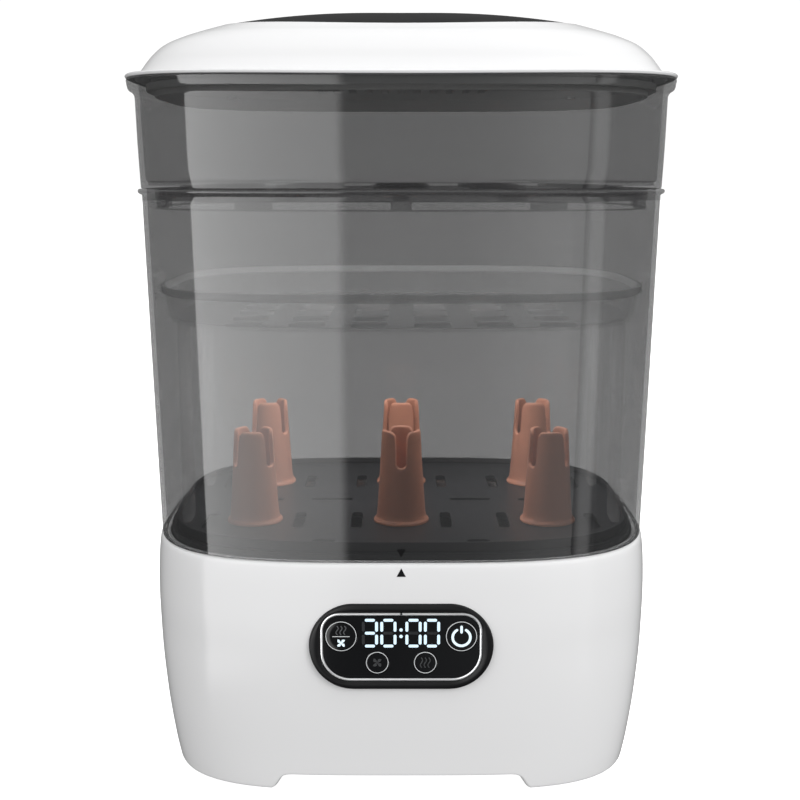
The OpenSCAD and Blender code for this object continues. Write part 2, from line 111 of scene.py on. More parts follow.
M = {
    "white_gloss": mat("white_gloss", (0.84, 0.84, 0.845), 0.16, spec=0.28, var=0.006, var_scale=9, rvar=0.02, bump=0.03, bump_scale=260),
    "white_satin": mat("white_satin", (0.8, 0.8, 0.79), 0.42, var=0.02, var_scale=18, bump=0.12, bump_scale=1400),
    "grey_rubber": mat("grey_rubber", (0.035, 0.035, 0.037), 0.75, spec=0.3, var=0.12, bump=0.3, bump_scale=1600),
    "silicone": mat("silicone", (0.75, 0.76, 0.75), 0.5, spec=0.35, var=0.03, bump=0.1, bump_scale=700),
    "steel_fastener": mat("steel_fastener", (0.6, 0.6, 0.6), 0.34, metal=1.0, var=0.08, var_scale=200, rvar=0.08),
    "dark_plastic": mat("dark_plastic", (0.022, 0.022, 0.024), 0.38, var=0.12, var_scale=24, bump=0.18, bump_scale=1500),
    "brushed_plate": mat("brushed_plate", (0.55, 0.55, 0.55), 0.3, metal=1.0, var=0.1, var_scale=60, rvar=0.1, stretch=(1, 14, 14), bump=0.15, bump_scale=400),
    "element_metal": mat("element_metal", (0.42, 0.41, 0.4), 0.42, metal=1.0, var=0.15, var_scale=120, rvar=0.08, bump=0.2, bump_scale=800),
    "black_phenolic": mat("black_phenolic", (0.0085, 0.0085, 0.009), 0.45, var=0.15, bump=0.15, bump_scale=1200),
    "filter_paper": mat("filter_paper", (0.74, 0.74, 0.71), 0.9, spec=0.1, var=0.06, var_scale=160, bump=0.6, bump_scale=1800),
    "board_green": mat("board_green", (0.012, 0.09, 0.035), 0.35, var=0.2, var_scale=150, second=(0.02, 0.13, 0.05), bump=0.3, bump_scale=500),
    "board_parts": mat("board_parts", (0.05, 0.05, 0.07), 0.35, var=0.2, var_scale=90, second=(0.12, 0.1, 0.08), bump=0.1),
    "black_satin": mat("black_satin", (0.006, 0.006, 0.0065), 0.38, spec=0.25, var=0.08, var_scale=30, rvar=0.03, bump=0.08, bump_scale=1800),
    "black_gloss": mat("black_gloss", (0.011, 0.0115, 0.0125), 0.06, spec=0.5, var=0.08, var_scale=12, rvar=0.01, bump=0.01, bump_scale=120),
    "silver_trim": mat("silver_trim", (0.88, 0.89, 0.9), 0.3, metal=0.75, var=0.03, var_scale=80, rvar=0.04),
    "lit_digits": mat("lit_digits", (0.42, 0.58, 0.7), 0.4, emit=0.62, var=0.04, var_scale=300, rvar=0.02),
    "smoked_plastic": mat("smoked_plastic", (0.055, 0.056, 0.057), 0.035, ior=1.75, alpha=0.6, var=0.06, var_scale=7, rvar=0.008),
    "clear_plastic": mat("clear_plastic", (0.75, 0.76, 0.76), 0.1, ior=1.55, alpha=0.13, var=0.04, var_scale=12, rvar=0.02),
    "terracotta": mat("terracotta", (0.5, 0.215, 0.135), 0.42, spec=0.4, var=0.05, var_scale=40, rvar=0.05, bump=0.12, bump_scale=1300),
}
smoke_inner = mat("smoked_inner_face", (0.04, 0.04, 0.041), 0.05, ior=1.5, alpha=0.27, var=0.06, var_scale=7, rvar=0.008)
vent_black = mat("vent_black", (0.006, 0.006, 0.0065), 0.5, spec=0.05, var=0.08, var_scale=30, rvar=0.03, bump=0.08, bump_scale=1800)
smoke_rim = mat("smoked_rim", (0.055, 0.056, 0.057), 0.04, ior=1.75, alpha=0.6, var=0.06, var_scale=7, rvar=0.008)
# whiter, more opaque copy of the clear plastic for the tray rims: a painted highlight standing in for the light that
# clear plastic rims catch
clear_rim_painted_highlight = mat("clear_rim_painted_highlight", (0.92, 0.93, 0.93), 0.12, ior=1.6, alpha=0.55, var=0.04, var_scale=12, rvar=0.02)
silver_line = mat("silver_line", (0.75, 0.77, 0.78), 0.45, metal=0.0, var=0.03, var_scale=90)
icon_faint = mat("icon_faint", (0.032, 0.034, 0.036), 0.5, var=0.04, var_scale=200)
icon_dim = mat("icon_dim", (0.075, 0.078, 0.082), 0.5, var=0.04, var_scale=200)
icon_lit = mat("icon_lit", (0.6, 0.7, 0.75), 0.5, emit=0.5, var=0.04, var_scale=200)
ghost = mat("ghost_segments", (0.013, 0.015, 0.017), 0.3, var=0.04, var_scale=200)
mark_ink = mat("mark_ink", (0.005, 0.005, 0.0055), 0.6, spec=0.1, var=0.1, var_scale=200)

slots_of = {s["node"]: s["material_slot"] for s in frame["record"]["subparts"]}
for node, o in N.items():
    if len(o.data.materials) == 0:
        o.data.materials.append(M[slots_of[node]])
    for s in o.material_slots:
        s.material = M["black_gloss"] if node == "display_module" else M[slots_of[node]]


# ------------------------------------------------------------------ mesh tools
def finish_mesh(name, me, material, body, replaced=(), smooth=True, angle=32):
    me.validate()
    me.update()
    if isinstance(material, (list, tuple)):
        for m in material:
            me.materials.append(m)
    else:
        me.materials.append(material)
    if smooth:
        me.shade_smooth()
        me.set_sharp_from_angle(angle=math.radians(angle))
    o = bpy.data.objects.new(name, me)
    scene.collection.objects.link(o)
    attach(o, body)
    if replaced:
        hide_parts(*replaced)
    return o


def table(n, a=133.0, b=104.0, extra=None):
    """n angles spaced evenly along the superellipse."""
    t = np.linspace(0, 2 * math.pi, 16001)
    x = a * np.sign(np.cos(t)) * np.abs(np.cos(t)) ** (2 / POWER)
    y = b * np.sign(np.sin(t)) * np.abs(np.sin(t)) ** (2 / POWER)
    d = np.hypot(np.diff(x), np.diff(y))
    if extra is not None:
        d = d * extra((x[1:] + x[:-1]) / 2, (y[1:] + y[:-1]) / 2)
    s = np.concatenate([[0], np.cumsum(d)])
    return np.interp(np.arange(n) / n * s[-1], s, t)


def around(a, b, th, p=POWER):
    c, s = np.cos(th), np.sin(th)
    return (a * np.sign(c) * np.abs(c) ** (2 / p), b * np.sign(s) * np.abs(s) ** (2 / p))


TH = table(256)


def grid_mesh(name, P, looped=False, cap0=False, cap1=False):
    """P: rings x columns x 3 in millimetres, columns always closed."""
    R, C = P.shape[:2]
    faces = []
    for i in range(R if looped else R - 1):
        j = (i + 1) % R
        for k in range(C):
            l = (k + 1) % C
            faces.append((i * C + k, i * C + l, j * C + l, j * C + k))
    if cap0:
        faces.append(tuple(range(C))[::-1])
    if cap1:
        faces.append(tuple((R - 1) * C + k for k in range(C)))
    me = bpy.data.meshes.new(name)
    me.from_pydata((P.reshape(-1, 3) * MM).tolist(), [], faces)
    bm = bmesh.new()
    bm.from_mesh(me)
    bmesh.ops.recalc_face_normals(bm, faces=bm.faces)
    if bm.calc_volume(signed=True) < 0:
        bmesh.ops.reverse_faces(bm, faces=bm.faces)
    bm.to_mesh(me)
    bm.free()
    return me


def run(pts, per=6):
    """Centripetal Catmull-Rom through the points, ends included."""
    q = np.array([list(p) + [0.0] * (4 - len(p)) for p in pts], float)
    e = np.vstack([2 * q[0] - q[1], q, 2 * q[-1] - q[-2]])
    out = []
    for i in range(1, len(e) - 2):
        p0, p1, p2, p3 = e[i - 1:i + 3]
        t0 = 0.0
        t1 = t0 + max(np.linalg.norm((p1 - p0)[:3]), 1e-6) ** 0.5
        t2 = t1 + max(np.linalg.norm((p2 - p1)[:3]), 1e-6) ** 0.5
        t3 = t2 + max(np.linalg.norm((p3 - p2)[:3]), 1e-6) ** 0.5
        for s in range(per):
            t = t1 + (t2 - t1) * s / per
            a1 = (t1 - t) / (t1 - t0) * p0 + (t - t0) / (t1 - t0) * p1
            a2 = (t2 - t) / (t2 - t1) * p1 + (t - t1) / (t2 - t1) * p2
            a3 = (t3 - t) / (t3 - t2) * p2 + (t - t2) / (t3 - t2) * p3
            b1 = (t2 - t) / (t2 - t0) * a1 + (t - t0) / (t2 - t0) * a2
            b2 = (t3 - t) / (t3 - t1) * a2 + (t - t1) / (t3 - t1) * a3
            out.append((t2 - t) / (t2 - t1) * b1 + (t - t1) / (t2 - t1) * b2)
    out.append(e[-2])
    return [tuple(o) for o in out]


def rounded(pts, closed=True, steps=4):
    """Profile points (z, a, b, rise, radius): every point with a radius becomes a small fillet."""
    q = [tuple(p) + (0.0,) * (5 - len(p)) for p in pts]
    n = len(q)
    out = []
    for i, p in enumerate(q):
        r = p[4]
        if r <= 0 or (not closed and i in (0, n - 1)):
            out.append(p[:4])
            continue
        c = np.array(p[:4])
        a = np.array(q[i - 1][:4])
        b = np.array(q[(i + 1) % n][:4])
        la, lb = np.linalg.norm((a - c)[:2]), np.linalg.norm((b - c)[:2])
        ta, tb = min(r, la * 0.45) / max(la, 1e-9), min(r, lb * 0.45) / max(lb, 1e-9)
        s, e = c + (a - c) * ta, c + (b - c) * tb
        for k in range(steps + 1):
            u = k / steps
            out.append(tuple((1 - u) ** 2 * s + 2 * u * (1 - u) * c + u * u * e))
    return out


def rings(profile, th=TH):
    P = np.zeros((len(profile), len(th), 3))
    for i, (z, a, b, up) in enumerate(profile):
        x, y = around(a, b, th)
        P[i, :, 0], P[i, :, 1] = x, y
        P[i, :, 2] = z + (up * (x / a) ** 2 if a > 0.01 else 0)
    return P


def keep_normals(me):
    """Tree and corner normals of a mesh before it is cut."""
    me.calc_loop_triangles()
    co = [v.co.copy() for v in me.vertices]
    tris = [tuple(t.vertices) for t in me.loop_triangles]
    cn = [[Vector(me.corner_normals[l].vector) for l in t.loops] for t in me.loop_triangles]
    return BVHTree.FromPolygons(co, tris), co, tris, cn


def restore_normals(me, kept):
    tree, co, tris, cn = kept
    res = [None] * len(me.loops)
    base = [Vector(c.vector) for c in me.corner_normals]
    for p in me.polygons:
        c = p.center
        for li in p.loop_indices:
            v = me.vertices[me.loops[li].vertex_index].co
            hit = tree.find_nearest(v.lerp(c, 0.06))
            n = base[li]
            if hit[0] is not None and hit[3] < 4e-5 and hit[1].dot(p.normal) > 0.93:
                i = hit[2]
                a, b, d = (co[k] for k in tris[i])
                v0, v1, v2 = b - a, d - a, v - a
                d00, d01, d11, d20, d21 = v0.dot(v0), v0.dot(v1), v1.dot(v1), v2.dot(v0), v2.dot(v1)
                den = d00 * d11 - d01 * d01
                if abs(den) > 1e-20:
                    w1 = min(1.3, max(-0.3, (d11 * d20 - d01 * d21) / den))
                    w2 = min(1.3, max(-0.3, (d00 * d21 - d01 * d20) / den))
                    m = cn[i][0] * (1 - w1 - w2) + cn[i][1] * w1 + cn[i][2] * w2
                    if m.length > 0.1:
                        n = m.normalized()
            res[li] = n
    me.normals_split_custom_set(res)


def block_mesh(boxes):
    """One mesh of separate boxes (x0, x1, y0, y1, z0, z1)."""
    bm = bmesh.new()
    for x0, x1, y0, y1, z0, z1 in boxes:
        vs = [bm.verts.new((x * MM, y * MM, z * MM)) for x in (x0, x1) for y in (y0, y1) for z in (z0, z1)]
        for f in ((0, 1, 3, 2), (4, 6, 7, 5), (0, 4, 5, 1), (2, 3, 7, 6), (0, 2, 6, 4), (1, 5, 7, 3)):
            bm.faces.new([vs[i] for i in f])
    bmesh.ops.recalc_face_normals(bm, faces=bm.faces)
    me = bpy.data.meshes.new("cut")
    bm.to_mesh(me)
    bm.free()
    return me


def slot_mesh(slots, seg=7):
    """Cutters with rounded ends: (cx, cy, half length, half width, z0, z1, along) with along 'x' or 'y'."""
    bm = bmesh.new()
    for cx, cy, hl, hw, z0, z1, along in slots:
        pts = []
        for s in (1, -1):
            for k in range(seg + 1):
                a = -math.pi / 2 + math.pi * k / seg
                u, v = s * (hl - hw) + s * hw * math.cos(a), s * hw * math.sin(a)
                pts.append((u, v) if along == "x" else (-v, u))
        lo = [bm.verts.new(((cx + u) * MM, (cy + v) * MM, z0 * MM)) for u, v in pts]
        hi = [bm.verts.new(((cx + u) * MM, (cy + v) * MM, z1 * MM)) for u, v in pts]
        bm.faces.new(lo[::-1])
        bm.faces.new(hi)
        for i in range(len(pts)):
            j = (i + 1) % len(pts)
            bm.faces.new((lo[i], lo[j], hi[j], hi[i]))
    bmesh.ops.recalc_face_normals(bm, faces=bm.faces)
    me = bpy.data.meshes.new("cut")
    bm.to_mesh(me)
    bm.free()
    return me


def carve(me, cutter, op="DIFFERENCE", restore=True):
    me.shade_smooth()
    me.set_sharp_from_angle(angle=math.radians(32))
    me.update()
    kept = keep_normals(me) if restore else None
    a = bpy.data.objects.new("tmp_a", me)
    b = bpy.data.objects.new("tmp_b", cutter)
    scene.collection.objects.link(a)
    scene.collection.objects.link(b)
    md = a.modifiers.new("cut", "BOOLEAN")
    md.operation = op
    md.solver = "EXACT"
    md.object = b
    bpy.context.view_layer.update()
    ev = a.evaluated_get(bpy.context.evaluated_depsgraph_get())
    res = bpy.data.meshes.new_from_object(ev)
    bpy.data.objects.remove(a)
    bpy.data.objects.remove(b)
    return res, kept


# ------------------------------------------------------------------ base housing
base_run = run([(0.8, 124.4, 97.5, 0.45), (2, 124.5, 97.7, 0.45), (9, 126.0, 98.4, 0.42), (20, 127.9, 99.4, 0.36), (32, 129.7, 100.6, 0.28), (44, 131.1, 101.7, 0.2),
                (60, 132.6, 102.9, 0.1), (76, 133.5, 103.9), (92, 133.8, 104.5), (106, 133.5, 104.3), (116, 132.9, 103.9),
                (122, 132.2, 103.3), (125, 131.75, 102.9)], 8)
bz = np.array([p[0] for p in base_run])
ba = np.array([p[1] for p in base_run])
bb = np.array([p[2] for p in base_run])
bp_ = np.array([POWER + p[3] for p in base_run])


def arch(x):
    return np.interp(np.abs(x), [56.0, 58.5, 60.8, 62.6, 64.4, 66.2, 67.4], [9.4, 9.2, 8.4, 7.0, 4.3, 1.7, 0.8])


TB = table(352, extra=lambda x, y: 1 + 2.5 * np.exp(-((np.abs(x) - 62) / 5.5) ** 2) * (np.abs(y) > 70))


def base_ring(z, inset, fixed=False):
    x, _ = around(np.interp(z, bz, ba), np.interp(z, bz, bb), TB, np.interp(z, bz, bp_))
    zz = np.full(len(TB), float(z))
    if not fixed and z < 26:
        f = arch(x)
        zz = f + (z - 0.8) * (26 - f) / (26 - 0.8)
    a, b = np.interp(zz, bz, ba) - inset, np.interp(zz, bz, bb) - inset
    x, y = around(a, b, TB, np.interp(zz, bz, bp_))
    return np.stack([x, y, zz], 1)


R = [base_ring(0.8, 1.6), base_ring(0.8, 1.1), base_ring(0.92, 0.62), base_ring(1.2, 0.28), base_ring(1.7, 0.06)]
R += [base_ring(z, 0) for z in (2.3, 3.5, 5, 7, 9, 11.5, 14, 17, 20, 23, 26)]
R += [base_ring(z, 0) for z in np.linspace(29, 120, 32)]
R += [base_ring(z, i) for z, i in ((122, 0.0), (123, 0.1), (123.8, 0.35), (124.4, 0.75), (124.8, 1.25), (125, 1.9))]
for z, a, b in ((125, 127.3, 98.7), (124.9, 127.05, 98.45), (124.6, 127, 98.4), (120, 127, 98.4), (120, 123.5, 95.2), (117, 123.5, 95.2), (114.5, 130.1, 101.1)):
    x, y = around(a, b, TB)
    R.append(np.stack([x, y, np.full(len(TB), float(z))], 1))
R += [base_ring(z, 2.6) for z in (106, 92, 76, 60, 44, 32, 20, 9, 2, 0.8)]
me = grid_mesh("base_housing_shell", np.array(R), looped=True)
cut = block_mesh([(-31.5, 31.5, 90, 112, 59.5, 96.5)])
me, kept = carve(me, cut)


def prism_front(shape, y0, y1, name="cut"):
    bm = bmesh.new()
    lo = [bm.verts.new((x * MM, y0 * MM, z * MM)) for x, z in shape]
    hi = [bm.verts.new((x * MM, y1 * MM, z * MM)) for x, z in shape]
    bm.faces.new(lo)
    bm.faces.new(hi[::-1])
    for i in range(len(shape)):
        j = (i + 1) % len(shape)
        bm.faces.new((lo[j], lo[i], hi[i], hi[j]))
    bmesh.ops.recalc_face_normals(bm, faces=bm.faces)
    me = bpy.data.meshes.new(name)
    bm.to_mesh(me)
    bm.free()
    return me


def stadium(w, h, n=120, cz=82.0):
    r = h / 2
    pts = []
    for s in (1, -1):
        for k in range(n // 2 + 1):
            a = -math.pi / 2 + math.pi * k / (n // 2)
            pts.append((s * (w / 2 - r) + s * r * math.cos(a), cz + s * r * math.sin(a)))
    return pts


me2, _ = carve(me, prism_front(stadium(92.5, 44.9), -120, -88), restore=False)
finish = finish_mesh("base_housing_shell", me2, M["white_gloss"], "base", ("base_housing",))
restore_normals(finish.data, kept)

# filter bay and the seat of the cord gland, as their own mouldings inside the shell
bm = bmesh.new()


def tube_box(x0, x1, z0, z1, t, y0, y1):
    o_ = [(x0, z0), (x1, z0), (x1, z1), (x0, z1)]
    i_ = [(x0 + t, z0 + t), (x1 - t, z0 + t), (x1 - t, z1 - t), (x0 + t, z1 - t)]
    v = {}
    for tag, pts in (("o", o_), ("i", i_)):
        for y in (y0, y1):
            v[tag, y] = [bm.verts.new((x * MM, y * MM, z * MM)) for x, z in pts]
    for k in range(4):
        l = (k + 1) % 4
        bm.faces.new((v["o", y0][k], v["o", y0][l], v["o", y1][l], v["o", y1][k]))
        bm.faces.new((v["i", y0][l], v["i", y0][k], v["i", y1][k], v["i", y1][l]))
        bm.faces.new((v["o", y1][k], v["o", y1][l], v["i", y1][l], v["i", y1][k]))
        bm.faces.new((v["o", y0][l], v["o", y0][k], v["i", y0][k], v["i", y0][l]))


tube_box(-34, 34, 57, 99, 2.5, 76, 101.2)
bmesh.ops.recalc_face_normals(bm, faces=bm.faces)
me = bpy.data.meshes.new("filter_bay_frame")
bm.to_mesh(me)
bm.free()
bay = finish_mesh("filter_bay_frame", me, M["white_satin"], "base", ())
bv = bay.modifiers.new("soft_edges", "BEVEL")
bv.width = 0.0005
bv.segments = 2


# ------------------------------------------------------------------ turned pieces
def turned(name, profile, cx, cy, cz, axis, material, body, replaced=(), n=72, looped=False, angle=32):
    """Revolves (r, d) about +Z or about -Y; d counts along the axis."""
    th = np.arange(n) * 2 * math.pi / n
    P = np.zeros((len(profile), n, 3))
    for i, (r, d) in enumerate(profile):
        u, v = r * np.cos(th), r * np.sin(th)
        if axis == "z":
            P[i, :, 0], P[i, :, 1], P[i, :, 2] = cx + u, cy + v, cz + d
        else:
            P[i, :, 0], P[i, :, 1], P[i, :, 2] = cx + u, cy - d, cz + v
    me = grid_mesh(name, P, looped=looped, cap0=not looped, cap1=not looped)
    return finish_mesh(name, me, material, body, replaced, angle=angle)


turned("cord_gland_seat", [(6.05, 0), (10.6, 0), (10.9, 0.3), (11, 0.8), (11, 7.4), (6.05, 7.4)], 70, 99.2, 28, "-y",
       M["white_gloss"], "base", (), looped=True)

# ------------------------------------------------------------------ chamber
outer = run([(125.3, 131.1, 103), (170, 132.2, 104.5), (220, 133.4, 106.1), (262, 134.35, 107.5), (303.6, 135.3, 108.8)], 10)
prof = [(125, 130.7, 102.6, 0, 0)] + [p + (0,) for p in outer] + [(304.0, 135.5, 109.0, 0, 0.3), (304.7, 136.9, 110.4, 0, 0.5), (305.7, 137.4, 110.9, 0, 0.7), (306.8, 136.9, 110.4, 0, 0.4),
       (306.8, 133.1, 106.6, 0, 0.4), (262, 132.0, 105.1, 0, 0), (220, 131.0, 103.7, 0, 0), (170, 129.8, 102.1, 0, 0), (125, 128.7, 100.6, 0, 0.3)]
pr = rounded(prof)
me = grid_mesh("chamber_wall", rings(pr), looped=True)
cham = finish_mesh("chamber_wall", me, [M["smoked_plastic"], smoke_inner], "sleeve", ("chamber",))


def inner_faces(o, centre_z, inward_only=True):
    """Faces whose normal points at the axis take the inner-face material."""
    for p in o.data.polygons:
        c, n = p.center, p.normal
        if c.x * n.x + c.y * n.y < 0 and abs(n.z) < 0.6:
            p.material_index = 1


inner_faces(cham, 0.2)
cham.data.materials.append(smoke_rim)
for p in cham.data.polygons:
    if p.center.z > 0.3042:
        p.material_index = 2

# ------------------------------------------------------------------ upper tray
tray = rounded([(306.9, 133.6, 107.2, 0, 0.3), (306.9, 135.4, 108.9, 0, 0.5), (307.8, 135.7, 109.25, 0, 0), (318, 136.1, 110.1, 0, 0), (330, 136.5, 111, 0, 0), (341, 136.75, 111.6, 0.8, 0), (351.0, 137, 112.2, 2.0, 1.2),
                (352.6, 138.3, 113.2, 2.2, 0.8), (353.6, 140.2, 114.4, 2.2, 1.2), (358.2, 141.0, 115, 2.2, 0.5), (358.8, 140.5, 114.6, 2.2, 0.4),
                (358.8, 135.2, 110.4, 2.2, 0.8), (351, 134.6, 109.8, 2.0, 0), (340, 134.3, 109.2, 0, 0), (325, 133.8, 108.2, 0, 0), (311.4, 133.3, 106.9, 0, 1.2), (309.4, 131.6, 105.2, 0, 1.0)])
P = rings(tray)
x, y = around(60, 46, TH)
floor_top = np.stack([x, y, np.full(len(TH), 309.4)], 1)[None]
floor_bot = np.stack([x, y, np.full(len(TH), 306.9)], 1)[None]
me = grid_mesh("upper_tray", np.concatenate([floor_bot, P, floor_top]), cap0=True, cap1=True)
slots = [(x, y, 14, 2.5, 300, 315, "x") for x in (-96, -48, 0, 48, 96) for y in (-66, -22, 22, 66)]
me, kept = carve(me, slot_mesh(slots))
tr = finish_mesh("upper_tray", me, [M["smoked_plastic"], smoke_inner, smoke_rim], "upper_tier", ("top_tray",))
restore_normals(tr.data, kept)
for p in tr.data.polygons:
    c, n = p.center, p.normal
    if (c.x * n.x + c.y * n.y < 0 and abs(n.z) < 0.6) or (n.z > 0.9 and c.z < 0.312):
        p.material_index = 1
    if c.z > 0.3515 + 0.0022 * (c.x / 0.14) ** 2 and p.material_index == 0 and n.z < 0.6:
        p.material_index = 2
# skirt that locates the tray in the chamber
sk = rounded([(296.8, 127.2, 100.6, 0, 0.3), (296.8, 129.2, 102.6, 0, 0.6), (306.8, 129.2, 102.6, 0, 0), (306.8, 127.2, 100.6, 0, 0)])
me = grid_mesh("upper_tray_skirt", rings(sk), looped=True)
boxes = [(x - h, x + h, -130, 130, 297.6, 301.2) for x, h in ((-97, 18), (-33, 28), (33, 28), (97, 18))] + [(-150, 150, y - 26, y + 26, 297.6, 301.2) for y in (-31, 31)]
for bx in boxes:
    me, _ = carve(me, block_mesh([bx]), restore=False)
finish_mesh("upper_tray_skirt", me, smoke_inner, "upper_tier", ())

# ------------------------------------------------------------------ middle tray
mt = rounded([(238.6, 122.4, 94.6, 0, 0.6), (241, 124.2, 96.4, 0, 0.8), (252.6, 126.0, 98.0, 0, 0.8), (254.4, 128.0, 99.8, 0, 0.5), (257.4, 128.1, 99.9, 0, 0.5),
              (257.4, 126.4, 98.2, 0, 0.5), (254.6, 124.6, 96.6, 0, 0.6), (243, 122.4, 94.6, 0, 0.8), (240.8, 120.8, 93, 0, 0.6)])
P = rings(mt)
x, y = around(50, 40, TH)
me = grid_mesh("middle_tray_moulding", np.concatenate([np.stack([x, y, np.full(len(TH), 238.6)], 1)[None], P, np.stack([x, y, np.full(len(TH), 240.8)], 1)[None]]), cap0=True, cap1=True)
slots = [(x, y, 9.5, 4.0, 232, 242, "x") for x in (-79, -47.4, -15.8, 15.8, 47.4, 79) for y in (-72, -43, -14, 14, 43, 72)]
me, kept = carve(me, slot_mesh(slots))
mo = finish_mesh("middle_tray_moulding", me, [M["clear_plastic"], clear_rim_painted_highlight], "mid_tier", ("middle_tray",))
restore_normals(mo.data, kept)
# top rim and lower edge faces take the whiter copy: painted highlight on the tray's rims
for p in mo.data.polygons:
    if p.center.z > 0.2535 or (abs(p.normal.z) < 0.5 and p.center.z < 0.2408):
        p.material_index = 1

# ------------------------------------------------------------------ rack
rk = rounded([(128, 123.4, 95.0, 0, 0.3), (128, 123.8, 95.4, 0, 0.4), (133.2, 123.8, 95.4, 0, 0.6), (133.2, 122.0, 93.6, 0, 0.6), (130.4, 121.8, 93.4, 0, 0.8)])
P = rings(rk)
x, y = around(50, 40, TH)
me = grid_mesh("rack_moulding", np.concatenate([np.stack([x, y, np.full(len(TH), 128.0)], 1)[None], P, np.stack([x, y, np.full(len(TH), 130.4)], 1)[None]]), cap0=True, cap1=True)
slots = [(i * 79 + s * 24, j * 43, 15, 3, 120, 132, "y") for i in (-1, 0, 1) for j in (-1, 1) for s in (-1, 1)]
slots += [(x, 0, 12, 2.5, 120, 132, "x") for x in (-79, -39.5, 0, 39.5, 79)]
slots += [(sx * 79, -81, 12, 3, 120, 132, "x") for sx in (-1, 1)] + [(sx * 39.5, -81, 6, 2.9, 120, 132, "x") for sx in (-1, 1)]
me, kept = carve(me, slot_mesh(slots))
ro = finish_mesh("rack_moulding", me, M["dark_plastic"], "rack", ("bottle_rack",))
restore_normals(ro.data, kept)
for sx in (-1, 1):
    for sy in (-1, 1):
        turned("rack_foot_%s%s" % ("rl"[sx < 0], "bf"[sy < 0]), [(3.4, 0), (3.9, 0.3), (4, 0.8), (4, 3.0)], sx * 104, sy * 70, 125, "z",
               M["dark_plastic"], "rack", (), n=32)

# ------------------------------------------------------------------ pegs
H, RF, RT = 50.0, 13.2, 10.2


def peg(name, cx, cy, turn, first):
    n = 216
    ph = np.arange(n) * 2 * math.pi / n
    rr = 10.8
    top = np.full(n, H)
    for i in range(3):
        a0 = math.radians(turn - 90 + i * 120)
        dphi = (ph - a0 + math.pi) % (2 * math.pi) - math.pi
        d = rr * np.sin(dphi)
        near = np.abs(dphi) < math.pi / 2
        w = 3.1
        u = np.abs(d)
        low = H - 16 - np.sqrt(np.clip(w * w - u * u, 0, None))
        wall = np.interp(u, [w, w + 0.35, w + 0.9, w + 1.8, w + 3.2], [H - 16, H - 3.4, H - 1.7, H - 0.6, H])
        top = np.where(near & (u < w), np.minimum(top, low), np.where(near & (u < w + 3.2), np.minimum(top, wall), top))
    rows = []
    z0 = 130.4

    def add(r, z):
        rows.append(np.stack([cx + r * np.cos(ph), cy + r * np.sin(ph), z0 + z], 1))

    one = np.ones(n)
    add(0.01 * one, 0 * one)
    add((RF + 1.6) * one, 0 * one)
    add((RF + 1.6) * one, 0.8 * one)
    add((RF + 1.3) * one, 1.3 * one)
    add((RF + 0.5) * one, 1.9 * one)
    add((RF + 0.05) * one, 2.8 * one)

    def ro_(z):
        t = np.clip((z - 2.8) / (H - 2.8), 0, 1)
        return RF - (RF - RT) * t ** 0.85

    for t in np.linspace(0.06, 1, 26):
        z = 2.8 + (top - 0.9 - 2.8) * t
        add(ro_(z), z)
    for dz, dr in ((0.55, 0.12), (0.25, 0.35), (0.06, 0.7), (0.0, 1.05), (0.05, 1.4), (0.25, 1.8), (0.6, 2.05), (1.0, 2.15)):
        add(ro_(top) - dr, top - dz)
    for t in np.linspace(0, 1, 14)[1:]:
        z = (top - 1.0) * (1 - t) + 3.0 * t
        add(ro_(z) - 2.15 - 0.5 * t, z)
    add(0.01 * one, 3.0 * one)
    me = grid_mesh(name, np.array(rows), cap0=True, cap1=True)
    return finish_mesh(name, me, M["terracotta"], "rack", ("bottle_pegs",) if first else (), angle=38)


first = True
for j, row in ((-1, "front"), (1, "rear")):
    for i, col in ((-1, "left"), (0, "middle"), (1, "right")):
        peg("peg_%s_%s" % (row, col), i * 79, j * 43, (0 if j < 0 else 60) if i == 0 else 60, first)
        first = False

# ------------------------------------------------------------------ lid
dome = run([(361.6, 134.7, 109.5, 2.0), (363.0, 134.0, 108.9, 1.6), (366.6, 131.8, 107.4, 1.0), (371.0, 128.6, 105.7, 0.6), (376.0, 122.8, 102.1, 0.8), (379.6, 114.2, 97.8, 1.2), (382.0, 104.2, 92.6, 2.2), (384.0, 94.6, 88.4, 3.0)], 7)
prof = [(359.1, 130.0, 105.4, 1.4, 0.3), (359.1, 140.9, 114.9, 2.2, 0.4), (360.2, 141.5, 115.4, 2.2, 0.4), (360.9, 140.8, 114.8, 2.2, 0.4), (361.2, 135.4, 110.0, 2.0, 0.6)]
prof += [p + (0,) for p in dome] + [(383.8, 94.4, 88.2, 3.0, 0.1), (381.8, 94.4, 88.2, 3.0, 0), (379.4, 102.6, 91.2, 2.2, 0), (376.6, 111.0, 94.6, 1.2, 0), (373.0, 118.4, 98.6, 0.8, 0), (368.0, 125.4, 102.6, 0.6, 0), (363.0, 129.4, 105.0, 1.2, 0)]
me = grid_mesh("lid_dome", rings(rounded(prof)), looped=True)
finish_mesh("lid_dome", me, M["white_gloss"], "lid", ("lid_shell",), angle=40)
for sx in (-1, 1):
    for sy in (-1, 1):
        turned("lid_boss_%s%s" % ("rl"[sx < 0], "bf"[sy < 0]), [(1.4, 0), (3.5, 0), (3.8, 0.3), (3.8, 14.6), (1.4, 14.6)], sx * 100, sy * 62, 361.6, "z",
               M["white_satin"], "lid", (), n=32, looped=True)

